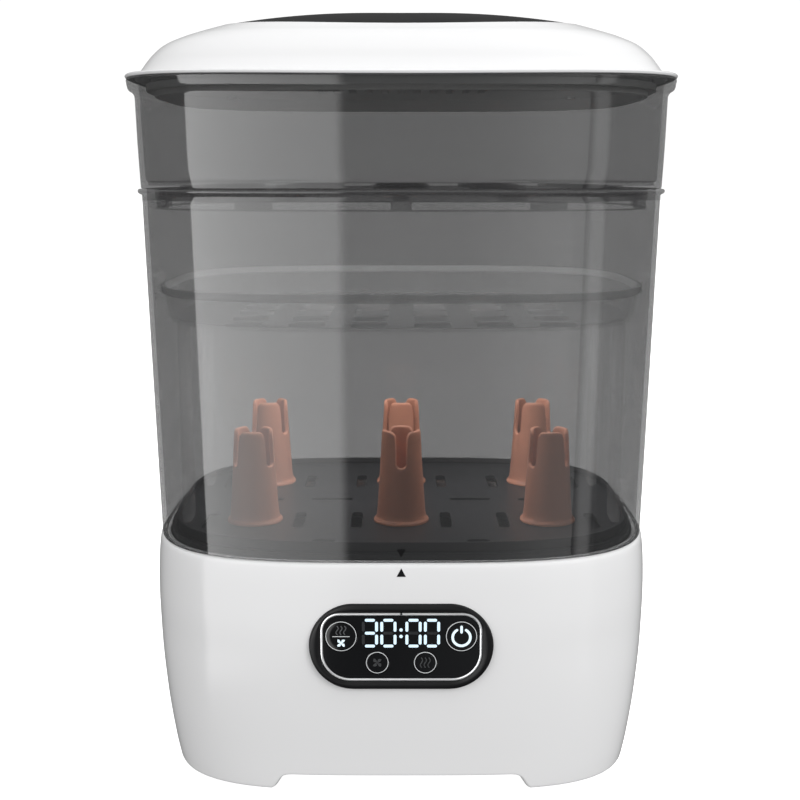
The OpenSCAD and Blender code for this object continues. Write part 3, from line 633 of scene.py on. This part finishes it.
# crowned vent plate with louvres
S = np.concatenate([[0.0005], np.linspace(0.05, 0.985, 30)])
top_rows = [(397.2 - 13.2 * s * s, 94 * s, 87.8 * s, 3 * s * s) for s in S]
edge_rows = [(397.2 - 13.2 - 0.05, 93.7, 87.5, 3), (397.2 - 13.2 - 0.3, 93.95, 87.75, 3), (380.2, 94, 87.8, 3)]
low_rows = [(381.6, 92, 85.8, 3)] + [(397.2 - 2.2 - 13.2 * s * s, 94 * s, 87.8 * s, 3 * s * s) for s in (0.93, 0.8, 0.6, 0.4, 0.2, 0.0005)]
me = grid_mesh("vent_plate", rings(top_rows + edge_rows + low_rows), cap0=True, cap1=True)
me, kept = carve(me, slot_mesh([(i * 7, 0, 24, 1.3, 378, 402, "y") for i in range(-3, 4)]))
vp = finish_mesh("vent_plate", me, vent_black, "lid", ("lid_vent_plate",))
restore_normals(vp.data, kept)


# ------------------------------------------------------------------ control panel
def polar(shape, cz):
    """Radius of a closed outline as a function of angle about (0, cz)."""
    p = np.array(shape, float)
    q = []
    for i in range(len(p)):
        a, b = p[i], p[(i + 1) % len(p)]
        for t in np.linspace(0, 1, 24, endpoint=False):
            q.append(a + (b - a) * t)
    q = np.array(q)
    an = np.arctan2(q[:, 1] - cz, q[:, 0])
    ra = np.hypot(q[:, 0], q[:, 1] - cz)
    o = np.argsort(an)
    an, ra = an[o], ra[o]
    return np.concatenate([an - 2 * math.pi, an, an + 2 * math.pi]), np.concatenate([ra, ra, ra])


def window(d, cz=82.15):
    w, h, rt, rb = 40.4 - d, 17.8 - d, 9.5 - d, 15 - d
    pts = []
    for cx, cy, r, a0 in ((w - rt, h - rt, rt, 0), (-w + rt, h - rt, rt, 90), (-w + rb, -h + rb, rb, 180), (w - rb, -h + rb, rb, 270)):
        for k in range(25):
            a = math.radians(a0 + 90 * k / 24)
            pts.append((cx + r * math.cos(a), cz + cy + r * math.sin(a)))
    return pts


CZ = 82.0
so = polar(stadium(92, 44.4), CZ)
tt = np.linspace(-math.pi, math.pi, 6001)
rr = np.interp(tt, so[0], so[1])
ss = np.concatenate([[0], np.cumsum(np.hypot(np.diff(rr * np.cos(tt)), np.diff(rr * np.sin(tt))))])
PH = np.interp(np.arange(240) / 240 * ss[-1], ss, tt)


def outline_row(shape, y):
    a, r = polar(shape, CZ)
    q = np.interp(PH, a, r)
    return np.stack([q * np.cos(PH), np.full(len(PH), float(y)) if np.isscalar(y) else y, CZ + q * np.sin(PH)], 1)


rows = [outline_row(stadium(92, 44.4), -99.2), outline_row(stadium(92, 44.4), -104.7), outline_row(stadium(91.8, 44.2), -105.1), outline_row(stadium(91.3, 43.7), -105.45), outline_row(stadium(90.6, 43), -105.62)]
A, B = outline_row(stadium(90.6, 43), 0), outline_row(window(-0.35), 0)
for t in np.linspace(0, 1, 9)[1:]:
    m = A * (1 - t) + B * t
    m[:, 1] = -105.62 - 0.42 * math.sin(math.pi * t) * 1.0 + 0.25 * t
    rows.append(m)
rows += [outline_row(window(-0.1), -105.2), outline_row(window(0), -104.9), outline_row(window(0), -103.2), outline_row(window(1.1), -103.2), outline_row(window(1.1), -97.6), outline_row(stadium(98, 50.4), -97.6), outline_row(stadium(98, 50.4), -99.0), outline_row(stadium(97.6, 50), -99.2)]
me = grid_mesh("bezel_ring", np.array(rows), looped=True)
finish_mesh("bezel_ring", me, M["black_satin"], "base", ("panel_bezel",), angle=40)

rows = [outline_row(window(0.05), -103.2)]
for d, y in ((0.05, -105.3), (0.12, -105.6), (0.3, -105.78), (0.7, -105.85), (1.05, -105.78), (1.25, -105.6), (1.32, -105.35), (1.32, -103.2)):
    rows.append(outline_row(window(d), y))
me = grid_mesh("silver_outline", np.array(rows), looped=True)
finish_mesh("silver_outline", me, M["silver_trim"], "base", ("panel_trim_ring",), angle=60)

KEYS = {"mode": (-30, 87.8, 8.0), "power": (30, 87.8, 8.0), "dry": (-12, 74, 5.9), "steam": (12, 74, 5.9)}
for k, (kx, kz, kr) in KEYS.items():
    body = k + "_key"
    turned(k + "_cap", [(0.01, 0), (2.6, 0), (2.6, 3.4), (kr + 0.6, 3.4), (kr + 0.6, 4.8), (kr, 4.8), (kr, 6.6), (kr - 0.08, 6.88), (kr - 0.3, 7.06), (kr - 0.7, 7.1), (kr * 0.6, 7.06), (0.01, 7.04)],
           kx, -98.4, kz, "-y", M["black_gloss"], body, (k + "_button",), n=96)
    rm = kr - 0.45
    ring = [(rm + 0.17 * math.cos(a), 7.08 + 0.09 * math.sin(a)) for a in np.arange(8) * 2 * math.pi / 8]
    turned(k + "_outline", ring, kx, -98.4, kz, "-y", silver_line, body, (), n=96, looped=True, angle=80)


def ribbon(bm, pts, w, y, t=0.12, caps=6):
    """Flat line of width w through points (x, z) with round ends, standing t proud of the plane y."""
    p = np.array(pts, float)
    closed = np.allclose(p[0], p[-1])
    d = np.gradient(p, axis=0)
    if closed:
        d[0] = d[-1] = p[1] - p[-2]
    d /= np.linalg.norm(d, axis=1)[:, None]
    nrm = np.stack([-d[:, 1], d[:, 0]], 1)
    L, Rr = p + nrm * w / 2, p - nrm * w / 2
    if closed:
        for i in range(len(p) - 1):
            q = [L[i], L[i + 1], Rr[i + 1], Rr[i]]
            plate(bm, q, y, t)
        return
    e = []
    for k in range(1, caps):
        a = math.pi * k / caps
        e.append(p[-1] + nrm[-1] * math.cos(a) * w / 2 + d[-1] * math.sin(a) * w / 2)
    s = []
    for k in range(1, caps):
        a = math.pi * k / caps
        s.append(p[0] - nrm[0] * math.cos(a) * w / 2 - d[0] * math.sin(a) * w / 2)
    plate(bm, list(L) + e + list(Rr[::-1]) + s, y, t)


def plate(bm, poly, y, t):
    f = [bm.verts.new((q[0] * MM, (y - t) * MM, q[1] * MM)) for q in poly]
    b = [bm.verts.new((q[0] * MM, (y + 0.05) * MM, q[1] * MM)) for q in poly]
    bm.faces.new(f)
    bm.faces.new(b[::-1])
    for i in range(len(poly)):
        j = (i + 1) % len(poly)
        bm.faces.new((f[i], b[i], b[j], f[j]))


def drawn(name, lines, y, material, body, replaced=()):
    """lines: ('line', points, width) or ('plate', points)."""
    bm = bmesh.new()
    for l in lines:
        if l[0] == "line":
            ribbon(bm, l[1], l[2], y)
        else:
            plate(bm, l[1], y, 0.12)
    bmesh.ops.recalc_face_normals(bm, faces=bm.faces)
    bmesh.ops.triangulate(bm, faces=[f for f in bm.faces if len(f.verts) > 4])
    me = bpy.data.meshes.new(name)
    bm.to_mesh(me)
    bm.free()
    return finish_mesh(name, me, material, body, replaced, smooth=False)


def waves(cx, cz, w, h, n=3, lw=0.55):
    out = []
    for i in range(n):
        x = cx + (i - (n - 1) / 2) * w / (n - 1)
        t = np.linspace(-1, 1, 19)
        out.append(("line", [(x + 0.55 * math.sin(v * math.pi), cz + v * h / 2) for v in t], lw))
    return out


def fan(cx, cz, dia, blades=4):
    out = []
    r = dia / 2
    for i in range(blades):
        a0 = i * 2 * math.pi / blades + 0.35
        pts = []
        for t in np.linspace(0, 1, 9):
            a = a0 - 0.15 + 0.55 * t
            q = 0.16 * r + 0.84 * r * math.sin(t * math.pi / 2)
            pts.append((cx + q * math.cos(a), cz + q * math.sin(a)))
        for t in np.linspace(0, 1, 7)[1:]:
            a = a0 + 0.4 + 0.5 * math.sin(t * math.pi) * 0.9 + 0.35 * t
            q = r * (1 - 0.84 * t)
            pts.append((cx + q * math.cos(a), cz + q * math.sin(a)))
        out.append(("plate", pts))
    out.append(("plate", [(cx + 0.13 * dia * math.cos(a), cz + 0.13 * dia * math.sin(a)) for a in np.arange(14) * 2 * math.pi / 14]))
    return out


YK = -105.44
drawn("mode_icon_waves", waves(-30, 90.9, 3.8, 4.4, 3, 0.5), YK, icon_dim, "mode_key", ())
drawn("mode_icon_line", [("line", [(-34.2, 87.7), (-30, 87.7), (-25.8, 87.7)], 0.32)], YK, silver_line, "mode_key", ())
drawn("mode_icon_fan", fan(-30, 84.3, 5.0), YK, icon_lit, "mode_key", ())
ang = np.radians(np.linspace(121, 419, 41))
drawn("power_icon", [("line", [(30 + 4.4 * math.cos(a), 87.3 + 4.4 * math.sin(a)) for a in ang], 1.3), ("line", [(30, 90.0), (30, 91.4), (30, 92.8)], 1.3)],
      YK, icon_lit, "power_key", ())
drawn("dry_icon", fan(-12, 74, 5.4), YK, icon_faint, "dry_key", ())
drawn("steam_icon", waves(12, 74, 3.8, 5.0, 3, 0.55), YK, icon_faint, "steam_key", ())

# seven-segment figures
SEG_ON = {"3": "abcdg", "0": "abcdef"}


def seg(x, s, z=89.5, w=8.3, h=15.2, t=1.7):
    hw, hh = w / 2 - t / 2, h / 2 - t / 2
    lean = 0.0
    g = 1.5
    ends = {"a": ((-hw + g, hh), (hw - g, hh)), "d": ((-hw + g, -hh), (hw - g, -hh)), "g": ((-hw + g, 0), (hw - g, 0)),
            "b": ((hw, hh - g), (hw, g)), "f": ((-hw, hh - g), (-hw, g)), "c": ((hw, -g), (hw, -hh + g)), "e": ((-hw, -g), (-hw, -hh + g))}[s]
    (x0, z0), (x1, z1) = ends
    return ("line", [(x + x0 + lean * z0, z + z0), (x + (x0 + x1) / 2, z + (z0 + z1) / 2), (x + x1 + lean * z1, z + z1)], t - 0.25)


lit, off = [], []
for x, d in ((-15.6, "3"), (-6.4, "0"), (6.1, "0"), (15.3, "0")):
    for s in "abcdefg":
        (lit if s in SEG_ON[d] else off).append(seg(x, s))
for z in (87.8, 91.2):
    lit.append(("plate", [(-0.1 + 0.85 * math.cos(a), z + 0.85 * math.sin(a)) for a in np.arange(18) * 2 * math.pi / 18]))
drawn("clock_figures", lit, -105.42, M["lit_digits"], "base", ("display_digits",))
drawn("clock_ghost_segments", off, -105.36, ghost, "base", ())

drawn("panel_tick", [("plate", [(-0.55, 99.0), (0.55, 99.0), (0.35, 100.7), (-0.35, 100.7)])], -105.9, mark_ink, "base", ())

# alignment triangles on the base and on the chamber
def lying(name, pts, wall, material, body):
    """Thin plate whose corners (x, z) lie on the wall in front, 0.12 mm proud."""
    bm = bmesh.new()
    f = [bm.verts.new((x * MM, (-wall(z) - 0.12) * MM, z * MM)) for x, z in pts]
    b = [bm.verts.new((x * MM, (-wall(z) + 0.3) * MM, z * MM)) for x, z in pts]
    bm.faces.new(f)
    bm.faces.new(b[::-1])
    for i in range(len(pts)):
        j = (i + 1) % len(pts)
        bm.faces.new((f[i], b[i], b[j], f[j]))
    bmesh.ops.recalc_face_normals(bm, faces=bm.faces)
    me = bpy.data.meshes.new(name)
    bm.to_mesh(me)
    bm.free()
    return finish_mesh(name, me, material, body, (), smooth=False)


lying("base_triangle", [(-2.25, 118.2), (2.25, 118.2), (0, 122.4)], lambda z: float(np.interp(z, bz, bb)), mark_ink, "base")
lying("chamber_triangle", [(-2.25, 132.2), (0, 128.0), (2.25, 132.2)], lambda z: float(np.interp(z, [p[0] for p in outer], [p[2] for p in outer])), mark_ink, "sleeve")

# ------------------------------------------------------------------ rear door, rubber feet
def rounded_plate(name, x0, x1, z0, z1, r, y_in, y_out, material, body, replaced):
    pts = []
    for cx, cz, a0 in ((x1 - r, z1 - r, 0), (x0 + r, z1 - r, 90), (x0 + r, z0 + r, 180), (x1 - r, z0 + r, 270)):
        for k in range(9):
            a = math.radians(a0 + 90 * k / 8)
            pts.append((cx, cz, math.cos(a), math.sin(a)))
    rows = []
    for ins, y in ((0, y_in), (0, y_out - 0.5), (0.15, y_out - 0.18), (0.5, y_out)):
        rows.append([(cx + (r - ins) * c, y, cz + (r - ins) * s) for cx, cz, c, s in pts])
    me = grid_mesh(name, np.array(rows), cap0=True, cap1=True)
    bxs = [(-24, 24, 90, 110, 66 + i * 4, 68 + i * 4) for i in range(6)]
    me, kept = carve(me, block_mesh(bxs))
    o = finish_mesh(name, me, material, body, replaced)
    restore_normals(o.data, kept)
    return o


rounded_plate("filter_door", -31.1, 31.1, 60, 96, 1.6, 101.2, 103.8, M["white_gloss"], "filter_door", ("filter_cover",))
bm = bmesh.new()
for z0, z1 in ((60.6, 62.6), (93.4, 95.4)):
    vs = [bm.verts.new((x * MM, y * MM, z * MM)) for x in (-30.4, 30.4) for y in (98, 101.3) for z in (z0, z1)]
    for f in ((0, 1, 3, 2), (4, 6, 7, 5), (0, 4, 5, 1), (2, 3, 7, 6), (0, 2, 6, 4), (1, 5, 7, 3)):
        bm.faces.new([vs[i] for i in f])
bmesh.ops.recalc_face_normals(bm, faces=bm.faces)
bmesh.ops.bevel(bm, geom=list(bm.edges), offset=0.3 * MM, segments=2, affect="EDGES")
me = bpy.data.meshes.new("filter_door_rails")
bm.to_mesh(me)
bm.free()
finish_mesh("filter_door_rails", me, M["white_satin"], "filter_door", ())

for sx in (-1, 1):
    for sy in (-1, 1):
        turned("foot_%s%s" % ("rl"[sx < 0], "bf"[sy < 0]), [(0.01, 0.3), (5.4, 0.3), (6.2, 0.0), (7.6, 0), (8.5, 0.4), (9.0, 1.2), (9.3, 4.0), (9.6, 8.8), (9.4, 9.35), (3, 9.4), (3, 11.8), (3.8, 11.9), (3.2, 13.4), (0.01, 13.4)],
               sx * 92, sy * 66, 0, "z", M["grey_rubber"], "base", ("rubber_feet",) if sx == sy == -1 else (), n=64)

# ------------------------------------------------------------------ floor, light, camera
def stage_plane(name, size, z, color):
    me = bpy.data.meshes.new(name)
    s = size / 2
    me.from_pydata([(-s, -s, z), (s, -s, z), (s, s, z), (-s, s, z)], [], [(0, 1, 2, 3)])
    m = bpy.data.materials.new(name + "_pale")
    m.use_nodes = True
    b = m.node_tree.nodes["Principled BSDF"]
    b.inputs["Base Color"].default_value = color + (1,)
    b.inputs["Roughness"].default_value = 0.9
    b.inputs["Specular IOR Level"].default_value = 0.1
    b.inputs["Emission Color"].default_value = (1, 1, 1, 1)
    b.inputs["Emission Strength"].default_value = 0.75
    me.materials.append(m)
    o = bpy.data.objects.new(name, me)
    scene.collection.objects.link(o)
    return o


floor_plane = stage_plane("floor", 30.0, 0.0, (0.93, 0.93, 0.93))
floor_plane.visible_glossy = False
floor_plane.visible_diffuse = False


def card(name, az0, az1, dist, z0, z1, strength, soft_left=0.0, soft_right=0.0, soft_low=0.0, soft_high=0.1, fade=1.0):
    """Bright card seen only in reflections, from azimuth az0 to az1 in degrees left of the front."""
    n = 40
    th = [math.radians(az0 + (az1 - az0) * i / n) for i in range(n + 1)]
    v = [(-dist * math.sin(a), -dist * math.cos(a), z) for z in (z0, z1) for a in th]
    f = [(i, i + 1, n + 2 + i, n + 1 + i) for i in range(n)]
    me = bpy.data.meshes.new(name)
    me.from_pydata(v, [], f)
    uv = me.uv_layers.new(name="card")
    for p in me.polygons:
        for li in p.loop_indices:
            vi = me.loops[li].vertex_index
            uv.data[li].uv = ((vi % (n + 1)) / n, vi // (n + 1))
    m = bpy.data.materials.new(name + "_light")
    m.use_nodes = True
    t = m.node_tree
    t.nodes.clear()
    out = t.nodes.new("ShaderNodeOutputMaterial")
    em = t.nodes.new("ShaderNodeEmission")
    em.inputs["Color"].default_value = (1, 1, 1, 1)
    u = t.nodes.new("ShaderNodeUVMap")
    u.uv_map = "card"
    sp = t.nodes.new("ShaderNodeSeparateXYZ")
    t.links.new(u.outputs["UV"], sp.inputs["Vector"])

    def edge(sock, lo, hi):
        r = t.nodes.new("ShaderNodeMapRange")
        r.interpolation_type = "SMOOTHSTEP"
        r.inputs["From Min"].default_value = lo
        r.inputs["From Max"].default_value = hi
        t.links.new(sock, r.inputs["Value"])
        return r.outputs["Result"]

    vals = []
    if soft_right > 0:
        vals.append(edge(sp.outputs["X"], 0, soft_right))
    if soft_left > 0:
        vals.append(edge(sp.outputs["X"], 1, 1 - soft_left))
    if soft_low > 0:
        vals.append(edge(sp.outputs["Y"], 0, soft_low))
    if soft_high > 0:
        vals.append(edge(sp.outputs["Y"], 1, 1 - soft_high))
    if fade < 1:
        r = t.nodes.new("ShaderNodeMapRange")
        r.inputs["To Min"].default_value = fade
        t.links.new(sp.outputs["X"], r.inputs["Value"])
        vals.append(r.outputs["Result"])
    cur = None
    for s in vals:
        if cur is None:
            cur = s
        else:
            mu = t.nodes.new("ShaderNodeMath")
            mu.operation = "MULTIPLY"
            t.links.new(cur, mu.inputs[0])
            t.links.new(s, mu.inputs[1])
            cur = mu.outputs["Value"]
    mu = t.nodes.new("ShaderNodeMath")
    mu.operation = "MULTIPLY"
    mu.inputs[1].default_value = strength
    if cur is not None:
        t.links.new(cur, mu.inputs[0])
    else:
        mu.inputs[0].default_value = 1.0
    t.links.new(mu.outputs["Value"], em.inputs["Strength"])
    t.links.new(em.outputs["Emission"], out.inputs["Surface"])
    try:
        m.cycles.emission_sampling = "NONE"
    except (AttributeError, TypeError):
        pass
    me.materials.append(m)
    o = bpy.data.objects.new(name, me)
    scene.collection.objects.link(o)
    o.visible_camera = False
    o.visible_diffuse = False
    o.visible_shadow = False
    o.visible_transmission = False
    return o


card("card_left", 4.5, 66, 2.4, -1.15, 2.2, 4.4, soft_right=0.03, soft_left=0.03, soft_low=0.03, fade=0.42)
card("card_right", -45, -62, 2.4, -1.15, 2.2, 1.1, soft_right=0.35, soft_left=0.35, soft_low=0.03)
card("card_front", -66, 4.5, 2.45, -1.15, 2.2, 0.7, soft_right=0.15, soft_left=0.6, soft_low=0.03)


def area(name, loc, aim, sx, sy, power, glossy=True, color=(1, 1, 1)):
    l = bpy.data.lights.new(name, "AREA")
    l.shape = "RECTANGLE"
    l.size, l.size_y = sx, sy
    l.energy = power
    l.color = color
    o = bpy.data.objects.new(name, l)
    o.location = loc
    o.rotation_euler = (Vector(aim) - Vector(loc)).to_track_quat("-Z", "Y").to_euler()
    o.visible_camera = False
    o.visible_glossy = glossy
    scene.collection.objects.link(o)
    return o


area("top_softbox", (0.25, -0.35, 1.9), (0, 0, 0.2), 1.8, 1.4, 8.5, glossy=False)
area("key_right", (1.5, -1.7, 1.2), (0, 0, 0.15), 1.3, 1.3, 23, glossy=False)
area("fill_left", (-1.7, -1.5, 0.8), (0, 0, 0.15), 1.2, 1.2, 7, glossy=False)

area("inside_glow", (0, 0, 0.236), (0, 0, 0), 0.19, 0.13, 0.5, glossy=False)
area("middle_glow", (0, 0, 0.294), (0, 0, 0), 0.19, 0.13, 0.2, glossy=False)
area("tray_glow", (0, 0, 0.352), (0, 0, 0), 0.2, 0.14, 0.12, glossy=False)
w = bpy.data.worlds.new("studio")
scene.world = w
w.use_nodes = True
t = w.node_tree
t.nodes.clear()
out = t.nodes.new("ShaderNodeOutputWorld")
lp = t.nodes.new("ShaderNodeLightPath")
mix = t.nodes.new("ShaderNodeMixShader")
b_cam = t.nodes.new("ShaderNodeBackground")
b_cam.inputs["Color"].default_value = (1, 1, 1, 1)
b_cam.inputs["Strength"].default_value = 1.05
b_amb = t.nodes.new("ShaderNodeBackground")
tc = t.nodes.new("ShaderNodeTexCoord")
sx = t.nodes.new("ShaderNodeSeparateXYZ")
t.links.new(tc.outputs["Generated"], sx.inputs["Vector"])
mr = t.nodes.new("ShaderNodeMapRange")
mr.inputs["From Min"].default_value = -0.1
mr.inputs["From Max"].default_value = 0.9
mr.inputs["To Min"].default_value = 0.52
mr.inputs["To Max"].default_value = 0.7
t.links.new(sx.outputs["Z"], mr.inputs["Value"])
b_amb.inputs["Color"].default_value = (1, 1, 1, 1)
t.links.new(mr.outputs["Result"], b_amb.inputs["Strength"])
t.links.new(lp.outputs["Is Camera Ray"], mix.inputs["Fac"])
# reflections see a darker room than the one that fills the shadows
b_ref = t.nodes.new("ShaderNodeBackground")
b_ref.inputs["Color"].default_value = (1, 1, 1, 1)
mr2 = t.nodes.new("ShaderNodeMapRange")
mr2.inputs["From Min"].default_value = 0.0
mr2.inputs["From Max"].default_value = 0.8
mr2.inputs["To Min"].default_value = 0.06
mr2.inputs["To Max"].default_value = 0.8
t.links.new(sx.outputs["Z"], mr2.inputs["Value"])
t.links.new(mr2.outputs["Result"], b_ref.inputs["Strength"])
mix2 = t.nodes.new("ShaderNodeMixShader")
t.links.new(lp.outputs["Is Glossy Ray"], mix2.inputs["Fac"])
t.links.new(b_amb.outputs["Background"], mix2.inputs[1])
t.links.new(b_ref.outputs["Background"], mix2.inputs[2])
t.links.new(mix2.outputs["Shader"], mix.inputs[1])
t.links.new(b_cam.outputs["Background"], mix.inputs[2])
t.links.new(mix.outputs["Shader"], out.inputs["Surface"])

cam = bpy.data.cameras.new("camera")
cam.lens = 55.8
cam.sensor_width = 36
cam.clip_start = 0.02
cam.clip_end = 100
cam.shift_x = -0.00156
co = bpy.data.objects.new("camera", cam)
co.location = (0, -0.6918, 0.3138)
co.rotation_euler = (math.radians(79.716), 0, 0)
scene.collection.objects.link(co)
scene.camera = co
scene.view_settings.view_transform = "Standard"
try:
    scene.cycles.transparent_max_bounces = 32
except AttributeError:
    pass
